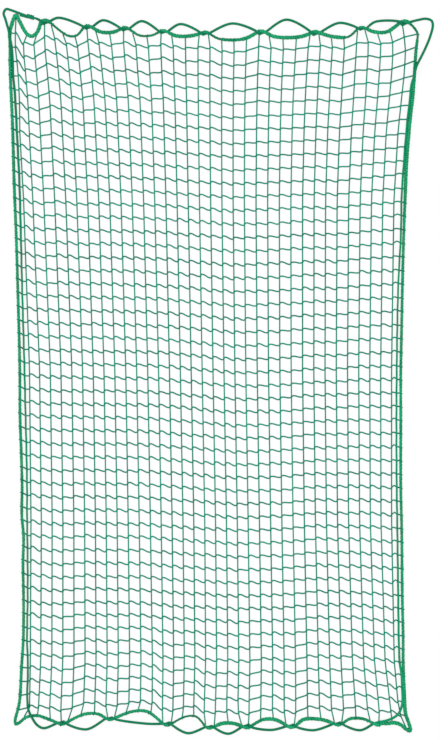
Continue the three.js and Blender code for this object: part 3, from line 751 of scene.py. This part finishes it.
class RopeTree(Sheet):
    """A geometry tree that sweeps a lobed and twisted section along lines."""

    SIZES = (
        ("Thickness", "NodeSocketFloat", 0.01),
        ("Sides", "NodeSocketInt", 6),
        ("Lobes", "NodeSocketInt", 3),
        ("Lobe Depth", "NodeSocketFloat", 0.0),
        ("Turn Rate", "NodeSocketFloat", 0.0),
        ("Finish", "NodeSocketMaterial", None),
    )
    WHIP = (("Whip Pitch", "NodeSocketFloat", 0.0075), ("Whip Reach", "NodeSocketFloat", 0.004))
    TURN_POINTS = 12

    def __init__(self, name, whipped=False):
        super().__init__(bpy.data.node_groups.new(name, "GeometryNodeTree"))
        face = self.tree.interface
        face.new_socket(name="Lines", in_out="INPUT", socket_type="NodeSocketGeometry")
        self.sockets = {}
        for socket_name, kind, default in self.SIZES + (self.WHIP if whipped else ()):
            socket = face.new_socket(name=socket_name, in_out="INPUT", socket_type=kind)
            if default is not None:
                socket.default_value = default
            self.sockets[socket_name] = socket.identifier
        face.new_socket(name="Rope", in_out="OUTPUT", socket_type="NodeSocketGeometry")
        group_input = self.tree.nodes.new("NodeGroupInput")
        self.given = {socket.name: Field(self, socket) for socket in group_input.outputs if socket.name}
        curve = self.node("GeometryNodeMeshToCurve", {"Mesh": self.given["Lines"]})
        if whipped:
            curve = self.coil(curve)
        self.node("NodeGroupOutput", {"Rope": self.sweep(curve)})

    def coil(self, curve):
        """Winds the line round where it ran, as a thread goes round a rope."""
        pitch = self.given["Whip Pitch"]
        spacing = {"Curve": curve, "Length": pitch / self.TURN_POINTS}
        curve = self.node("GeometryNodeResampleCurve", spacing, mode="LENGTH")
        turn = self.node("GeometryNodeSplineParameter", output="Length") * (2 * math.pi) / pitch
        normal = self.node("GeometryNodeInputNormal")
        beside = self.vector("CROSS_PRODUCT", self.node("GeometryNodeInputTangent"), normal)
        reach = self.given["Whip Reach"] * self.size()
        across = self.scaled(normal, turn.cos() * reach)
        upwards = self.scaled(beside, turn.sin() * reach)
        offset = self.vector("ADD", across, upwards)
        return self.node("GeometryNodeSetPosition", {"Geometry": curve, "Offset": offset})

    def sweep(self, curve):
        run = self.node("GeometryNodeSplineParameter", output="Length")
        tilt = {"Curve": curve, "Tilt": run * self.given["Turn Rate"]}
        curve = self.node("GeometryNodeSetCurveTilt", tilt)
        curve = self.stored(curve, "along", "FLOAT", run)
        circle = {"Resolution": self.given["Sides"], "Radius": 1.0}
        section = self.node("GeometryNodeCurvePrimitiveCircle", circle)
        place = self.node("GeometryNodeInputPosition")
        section = self.stored(section, "around", "FLOAT_VECTOR", place)
        lobe = (self.angle_of(place) * self.given["Lobes"]).cos() * self.given["Lobe Depth"]
        lobed = self.scaled(place, (lobe + 1) * self.given["Thickness"] / 2)
        section = self.node("GeometryNodeSetPosition", {"Geometry": section, "Position": lobed})
        swept = {"Curve": curve, "Profile Curve": section, "Scale": self.size(), "Fill Caps": True}
        rope = self.node("GeometryNodeCurveToMesh", swept)
        rope = self.node("GeometryNodeSetShadeSmooth", {"Geometry": rope, "Shade Smooth": True})
        rope = self.node("GeometryNodeRealizeInstances", {"Geometry": rope})
        finish = {"Geometry": rope, "Material": self.given["Finish"]}
        return self.node("GeometryNodeSetMaterial", finish)

    def size(self):
        """The thickness at each point of a line, as a share."""
        return self.node("GeometryNodeInputNamedAttribute", {"Name": "size"}, data_type="FLOAT")

    def stored(self, geometry, name, kind, value):
        values = {"Geometry": geometry, "Name": name, "Value": value}
        return self.node("GeometryNodeStoreNamedAttribute", values, data_type=kind, domain="POINT")

    def run(self, name, lines, **values):
        """The tree's result over some lines, as a plain mesh."""
        guide = placed(name + "_guide", guide_mesh(name + "_guide", lines))
        modifier = guide.modifiers.new(self.tree.name, "NODES")
        modifier.node_group = self.tree
        for socket_name, value in values.items():
            modifier[self.sockets[socket_name.replace("_", " ")]] = value
        depsgraph = bpy.context.evaluated_depsgraph_get()
        mesh = bpy.data.meshes.new_from_object(guide.evaluated_get(depsgraph))
        guide.modifiers.remove(modifier)
        bpy.data.objects.remove(guide)
        if not mesh.polygons:
            raise RuntimeError(f"{name}: the tree made no faces")
        mesh.name = name
        return mesh


def placed(name, data):
    """A new object in the scene."""
    made = bpy.data.objects.new(name, data)
    bpy.context.scene.collection.objects.link(made)
    return made


def guide_mesh(name, lines):
    """Lines as the edges of one mesh, with each point's size and tone."""
    points, edges, sizes, tones = [], [], [], []
    for line in lines:
        first = len(points)
        count = len(line.points)
        points += [tuple(map(float, point)) for point in line.points]
        edges += [(first + k, first + k + 1) for k in range(count - 1)]
        if line.closed:
            edges.append((first + count - 1, first))
        sizes += list(np.broadcast_to(line.sizes, count))
        tones += list(np.broadcast_to(line.tones, count))
    mesh = bpy.data.meshes.new(name)
    mesh.from_pydata(points, edges, [])
    for attribute, values in (("size", sizes), ("tone", tones)):
        mesh.attributes.new(attribute, "FLOAT", "POINT").data.foreach_set("value", values)
    return mesh


class Finish(Sheet):
    """A material in the making."""

    def __init__(self, name):
        self.material = bpy.data.materials.new(name)
        self.material.use_nodes = True
        super().__init__(self.material.node_tree)
        self.place = self.node("ShaderNodeTexCoord", output="Object")

    def noise(self, scale):
        return self.node("ShaderNodeTexNoise", {"Vector": self.place, "Scale": scale}, output="Fac")

    def close(self, values):
        surface = self.node("ShaderNodeBsdfPrincipled", values)
        self.node("ShaderNodeOutputMaterial", {"Surface": surface})
        return self.material


class RopeFinish(Finish):
    """A material for something swept along a line, which knows the place along and around it."""

    def __init__(self, name):
        super().__init__(name)
        self.along = self.attribute("along", "Fac")
        self.angle = self.angle_of(self.attribute("around", "Vector"))
        # the tone along each line: the ropes' own tone, and the painted highlight where they are laced
        self.tone = self.attribute("tone", "Fac")

    def attribute(self, name, output):
        return self.node("ShaderNodeAttribute", output=output, attribute_name=name)

    def helix(self, starts, turn):
        """From -1 to 1 across a helix with some starts; one whole turn has this length."""
        return (self.angle * starts + self.along * (2 * math.pi * starts / turn)).sin()

    def dye_with_painted_shading(self, colour, pattern, relief, shades, fading, fuzz, tone, roughness, sheen, depth):
        """A pattern between two shades of the colour, with faded patches and with fuzz.

        Fading is the patches' scale and share, and fuzz is its scale, its share and its relief. The pattern
        and the tone can also carry painted shade and a painted highlight.
        """
        patch_scale, patch_share = fading
        fuzz_scale, fuzz_share, fuzz_relief = fuzz
        patches = self.noise(patch_scale)
        grain = self.noise(fuzz_scale)
        share = pattern + (patches - 0.5) * patch_share + (grain - 0.5) * fuzz_share + self.tone * tone
        dark, light = ((*(min(part * shade, 1) for part in colour), 1) for shade in shades)
        smooth, rough = roughness
        bump = {"Strength": 0.6, "Distance": depth, "Height": relief + grain * fuzz_relief}
        return self.close({
            "Base Color": self.mix(share, dark, light),
            "Roughness": smooth + grain * (rough - smooth),
            "Normal": self.node("ShaderNodeBump", bump),
            "Sheen Weight": sheen,
            "Sheen Roughness": 0.5,
            "Specular IOR Level": 0.06,
        })


def twine_finish_and_ply_shade(colours):
    """Plaited twine, a little faded in places, with painted shade between its plies."""
    finish = RopeFinish("plaited twine")
    # the plait's pattern, with painted shade down between its plies
    plait = finish.helix(2, PLAIT_TURN) * finish.helix(2, -PLAIT_TURN)
    return finish.dye_with_painted_shading(
        colours.twine, pattern=0.42 + plait * 0.16, relief=plait * 0.8, shades=(0.62, 1.38),
        fading=(14.0, 0.7), fuzz=(1400.0, 0.5, 0.4), tone=0.5, roughness=(0.62, 0.88), sheen=0.0,
        depth=0.0004,
    )


def border_finish_and_groove_shade(colours):
    """Three-strand rope with fine yarns, with painted shade down in its grooves."""
    finish = RopeFinish("border rope")
    # painted shade: the three lobes make the rope darker down in the grooves between its strands
    lobe = (finish.angle * 3).cos()
    yarn = finish.helix(14, -YARN_TURN)
    return finish.dye_with_painted_shading(
        colours.border, pattern=0.42 + lobe * 0.25 + yarn * 0.1, relief=yarn * 0.6, shades=(0.5, 1.35),
        fading=(32.0, 1.1), fuzz=(1100.0, 0.4, 0.5), tone=0.6, roughness=(0.55, 0.8), sheen=0.01,
        depth=0.0004,
    )


def thread_finish(colours):
    """Twisted whipping thread, lighter than the rope under it."""
    finish = RopeFinish("whipping thread")
    ply = finish.helix(2, PLY_TURN)
    return finish.dye_with_painted_shading(
        colours.thread, pattern=0.5 + ply * 0.18, relief=ply * 0.7, shades=(0.6, 1.35), fading=(32.0, 1.1),
        fuzz=(1500.0, 0.4, 0.3), tone=0.6, roughness=(0.5, 0.75), sheen=0.01, depth=0.0003,
    )


def elastic_finish(colours):
    """Braided sleeve over the rubber, two sets of strands that cross."""
    finish = RopeFinish("elastic sleeve")
    braid = finish.helix(6, BRAID_TURN) * finish.helix(6, -BRAID_TURN)
    yarn = finish.helix(24, BRAID_TURN)
    return finish.dye_with_painted_shading(
        colours.elastic, pattern=0.35 + braid * 0.3 + yarn * 0.06, relief=braid * 0.8, shades=(0.6, 1.4),
        fading=(8.0, 0.5), fuzz=(1200.0, 0.35, 0.3), tone=0.6, roughness=(0.5, 0.78), sheen=0.01,
        depth=0.0005,
    )


def floor_finish(colours):
    finish = Finish("studio floor")
    return finish.close({
        "Base Color": (*colours.floor, 1),
        "Roughness": 0.75 + finish.noise(40.0) * 0.2,
        "Specular IOR Level": 0.0,
        "Emission Color": (1, 1, 1, 1),
        "Emission Strength": FLOOR_GLOW,
    })


def add_rope(name, lines, slot, nodes, whipped=False, **values):
    """Sweeps a rope along lines, hangs it under the root body and hides the imported parts that it stands
    for.
    """
    piece = placed(name, RopeTree(name + "_tree", whipped).run(name, lines, **values))
    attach(piece, "root")
    if nodes:
        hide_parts(*nodes)


class MeshPanelOperator(bpy.types.Operator):
    """Lays every strand and row of the mesh panel as knotless twine"""

    bl_idname = "cargo_net.mesh_panel"
    bl_label = "Mesh panel"

    def execute(self, context):
        sizes = context.scene.net_sizes
        lay = NetLay(sizes)
        draw = np.random.default_rng(TWINE_SEED)
        strands = [strand_line(lay, strand, draw) for strand in range(MESHES_ACROSS - 1)]
        strands += [row_line(lay, row, draw) for row in range(1, MESHES_ALONG)]
        tones = draw.uniform(-STRAND_TONE, STRAND_TONE, len(strands))
        lines = [lay.line(points, factors, tone) for (points, factors), tone in zip(strands, tones)]
        add_rope(
            "net_twine", lines, "twine", ["mesh_panel"], Thickness=sizes.upright, Sides=TWINE_SIDES,
            Finish=twine_finish_and_ply_shade(context.scene.net_colours),
        )
        return {"FINISHED"}


class BorderRopeOperator(bpy.types.Operator):
    """Lays the three-strand border rope round the panel"""

    bl_idname = "cargo_net.border_rope"
    bl_label = "Border rope"

    def execute(self, context):
        sizes = context.scene.net_sizes
        lay = NetLay(sizes)
        whole = run_length(lay.border)
        rate = 2 * math.pi * round(whole / sizes.border_lay) / whole
        add_rope(
            "border_rope_laid", [lay.border_line()], "border", ["border_rope"],
            Thickness=sizes.border - sizes.thread * THREAD_OUT, Sides=ROPE_SIDES, Lobe_Depth=ROPE_LOBE,
            Turn_Rate=rate, Finish=border_finish_and_groove_shade(context.scene.net_colours),
        )
        return {"FINISHED"}


class BorderWhippingOperator(bpy.types.Operator):
    """Whips a thread round the border rope, turn after turn"""

    bl_idname = "cargo_net.border_whipping"
    bl_label = "Border whipping"

    def execute(self, context):
        sizes = context.scene.net_sizes
        lay = NetLay(sizes)
        whole = run_length(lay.border)
        add_rope(
            "border_whipping", [lay.border_line()], "border", [], whipped=True, Thickness=sizes.thread,
            Sides=THREAD_SIDES, Whip_Pitch=whole / round(whole / sizes.whip_pitch),
            Whip_Reach=(sizes.border - sizes.thread) / 2, Finish=thread_finish(context.scene.net_colours),
        )
        return {"FINISHED"}


class ElasticCordOperator(bpy.types.Operator):
    """Laces the elastic cord round the border and weaves it down the long sides"""

    bl_idname = "cargo_net.elastic_cord"
    bl_label = "Elastic cord"

    def execute(self, context):
        sizes = context.scene.net_sizes
        lay = NetLay(sizes)
        line = lay.line(lay.elastic, lay.elastic_sizes, lay.elastic_tones)
        add_rope(
            "elastic_cord_laced", [line], "elastic", ["elastic_cord"], Thickness=sizes.elastic,
            Sides=CORD_SIDES, Finish=elastic_finish(context.scene.net_colours),
        )
        return {"FINISHED"}


class ElasticKnotOperator(bpy.types.Operator):
    """Ties the elastic's two ends: turns round the two cords, and the tail beside them"""

    bl_idname = "cargo_net.elastic_knot"
    bl_label = "Elastic knot"

    WRAP_REACH = 0.0050
    WRAP_RADIUS = 0.0031
    WRAP_LENGTH = 0.026
    WRAP_TONE = 0.6
    WRAP_POINTS = 16  # to a turn
    TUCK_TURNS = 1 / 3  # the part of its first and last turn over which it comes out from the core
    TUCK_REACH = 0.2
    CORE_POINTS = 12
    TAIL_END = (0.92, 0.7)  # the thickness of its last two points, as a share

    def execute(self, context):
        sizes = context.scene.net_sizes
        lay = NetLay(sizes)
        core = np.linspace(lay.beside_knot(-1, 0), lay.beside_knot(1, 0), self.CORE_POINTS)
        tail = smooth_line(lay.at_height(KNOT_TAIL), False, KNOT_STEP)
        tail_sizes = np.ones(len(tail))
        tail_sizes[-2:] = self.TAIL_END
        wrap_size = 2 * self.WRAP_RADIUS / sizes.elastic
        lines = [
            lay.line(core, KNOT_CORE, 0.0),
            lay.line(self.wraps(sizes.knot_pitch), wrap_size, self.WRAP_TONE),
            lay.line(tail, tail_sizes, 0.0),
        ]
        add_rope(
            "elastic_knot_tied", lines, "elastic", ["elastic_knot"], Thickness=sizes.elastic,
            Sides=CORD_SIDES, Finish=elastic_finish(context.scene.net_colours),
        )
        return {"FINISHED"}

    def wraps(self, pitch):
        """Turns round the knot's middle line that start and end tucked in against it."""
        out = np.arange(-self.WRAP_LENGTH / 2, self.WRAP_LENGTH / 2, pitch / self.WRAP_POINTS)
        angle = 2 * math.pi * out / pitch
        to_end = self.WRAP_LENGTH / 2 - np.abs(out)
        reach = self.WRAP_REACH * np.clip(to_end / (pitch * self.TUCK_TURNS), self.TUCK_REACH, 1)
        x = KNOT_MIDDLE[0] + out * math.cos(KNOT_ANGLE) - reach * np.sin(angle) * math.sin(KNOT_ANGLE)
        y = KNOT_MIDDLE[1] + out * math.sin(KNOT_ANGLE) + reach * np.sin(angle) * math.cos(KNOT_ANGLE)
        height = np.maximum(KNOT_RADIUS + reach * np.cos(angle), self.WRAP_RADIUS)
        return np.stack([x, y, height], axis=1)


class DeclareSheetOperator(bpy.types.Operator):
    """Does nothing: the panel's flat size is not stated here"""

    bl_idname = "cargo_net.declare_sheet"
    bl_label = "State the flat size"

    def execute(self, context):
        return {"FINISHED"}


Lamp = namedtuple("Lamp", "name place size power")


class StageOperator(bpy.types.Operator):
    """Sets the pale floor, the soft light and the camera straight above the net"""

    bl_idname = "cargo_net.stage"
    bl_label = "Stage"

    LENS = 85.0
    SENSOR = 36.0
    SEEN_HEIGHT = 2.5122  # of the floor, from the bottom to the top of the picture
    SEEN_MIDDLE = (0.0036, 0.0096)
    FLOOR_SIZE = 150.0
    FLOOR_DROP = 0.0004
    SKY_STRENGTH = 0.7
    LAMPS = (Lamp("key", (-2.8, 1.2, 4.0), 2.5, 75), Lamp("fill", (2.8, -1.2, 4.0), 2.5, 60))

    def execute(self, context):
        scene = context.scene
        self.add_floor(scene)
        self.add_lights(scene)
        self.add_camera(scene)
        scene.view_settings.view_transform = "Standard"
        return {"FINISHED"}

    def add_floor(self, scene):
        half = self.FLOOR_SIZE / 2
        mesh = bpy.data.meshes.new("studio_floor")
        corners = [(x * half, y * half, -self.FLOOR_DROP) for x, y in ((-1, -1), (1, -1), (1, 1), (-1, 1))]
        mesh.from_pydata(corners, [], [(0, 1, 2, 3)])
        mesh.materials.append(floor_finish(scene.net_colours))
        floor = placed("studio_floor", mesh)

    def add_lights(self, scene):
        world = bpy.data.worlds.new("studio")
        world.use_nodes = True
        background = world.node_tree.nodes["Background"]
        background.inputs["Color"].default_value = (1, 1, 1, 1)
        background.inputs["Strength"].default_value = self.SKY_STRENGTH
        scene.world = world
        for lamp in self.LAMPS:
            light = bpy.data.lights.new(lamp.name, "AREA")
            light.size = lamp.size
            light.energy = lamp.power
            hung = placed(lamp.name, light)
            hung.location = lamp.place
            hung.rotation_mode = "QUATERNION"
            hung.rotation_quaternion = hung.location.to_track_quat("Z", "Y")

    def add_camera(self, scene):
        camera = bpy.data.cameras.new("camera")
        camera.lens = self.LENS
        camera.sensor_width = self.SENSOR
        viewer = placed("camera", camera)
        viewer.location = (*self.SEEN_MIDDLE, self.SEEN_HEIGHT * self.LENS / self.SENSOR)
        scene.camera = viewer


OPERATORS = (
    StageOperator,
    ElasticCordOperator,
    MeshPanelOperator,
    BorderRopeOperator,
    BorderWhippingOperator,
    ElasticKnotOperator,
    DeclareSheetOperator,
)


class NetPanel(bpy.types.Panel):
    """Lists the net's sizes, colours and pieces"""

    bl_idname = "CARGO_NET_PT_pieces"
    bl_label = "Cargo net"
    bl_space_type = "VIEW_3D"
    bl_region_type = "UI"
    bl_category = "Cargo net"

    def draw(self, context):
        for group in (context.scene.net_sizes, context.scene.net_colours):
            for name in group.__annotations__:
                self.layout.prop(group, name)
        for operator in OPERATORS:
            self.layout.operator(operator.bl_idname)


CLASSES = (NetSizes, NetColours, *OPERATORS, NetPanel)


def register():
    for added in CLASSES:
        bpy.utils.register_class(added)
    bpy.types.Scene.net_sizes = bpy.props.PointerProperty(type=NetSizes)
    bpy.types.Scene.net_colours = bpy.props.PointerProperty(type=NetColours)


def unregister():
    del bpy.types.Scene.net_colours
    del bpy.types.Scene.net_sizes
    for added in reversed(CLASSES):
        bpy.utils.unregister_class(added)


def main():
    register()
    for operator in OPERATORS:
        group, name = operator.bl_idname.split(".")
        getattr(getattr(bpy.ops, group), name)()


if __name__ == "__main__":
    main()
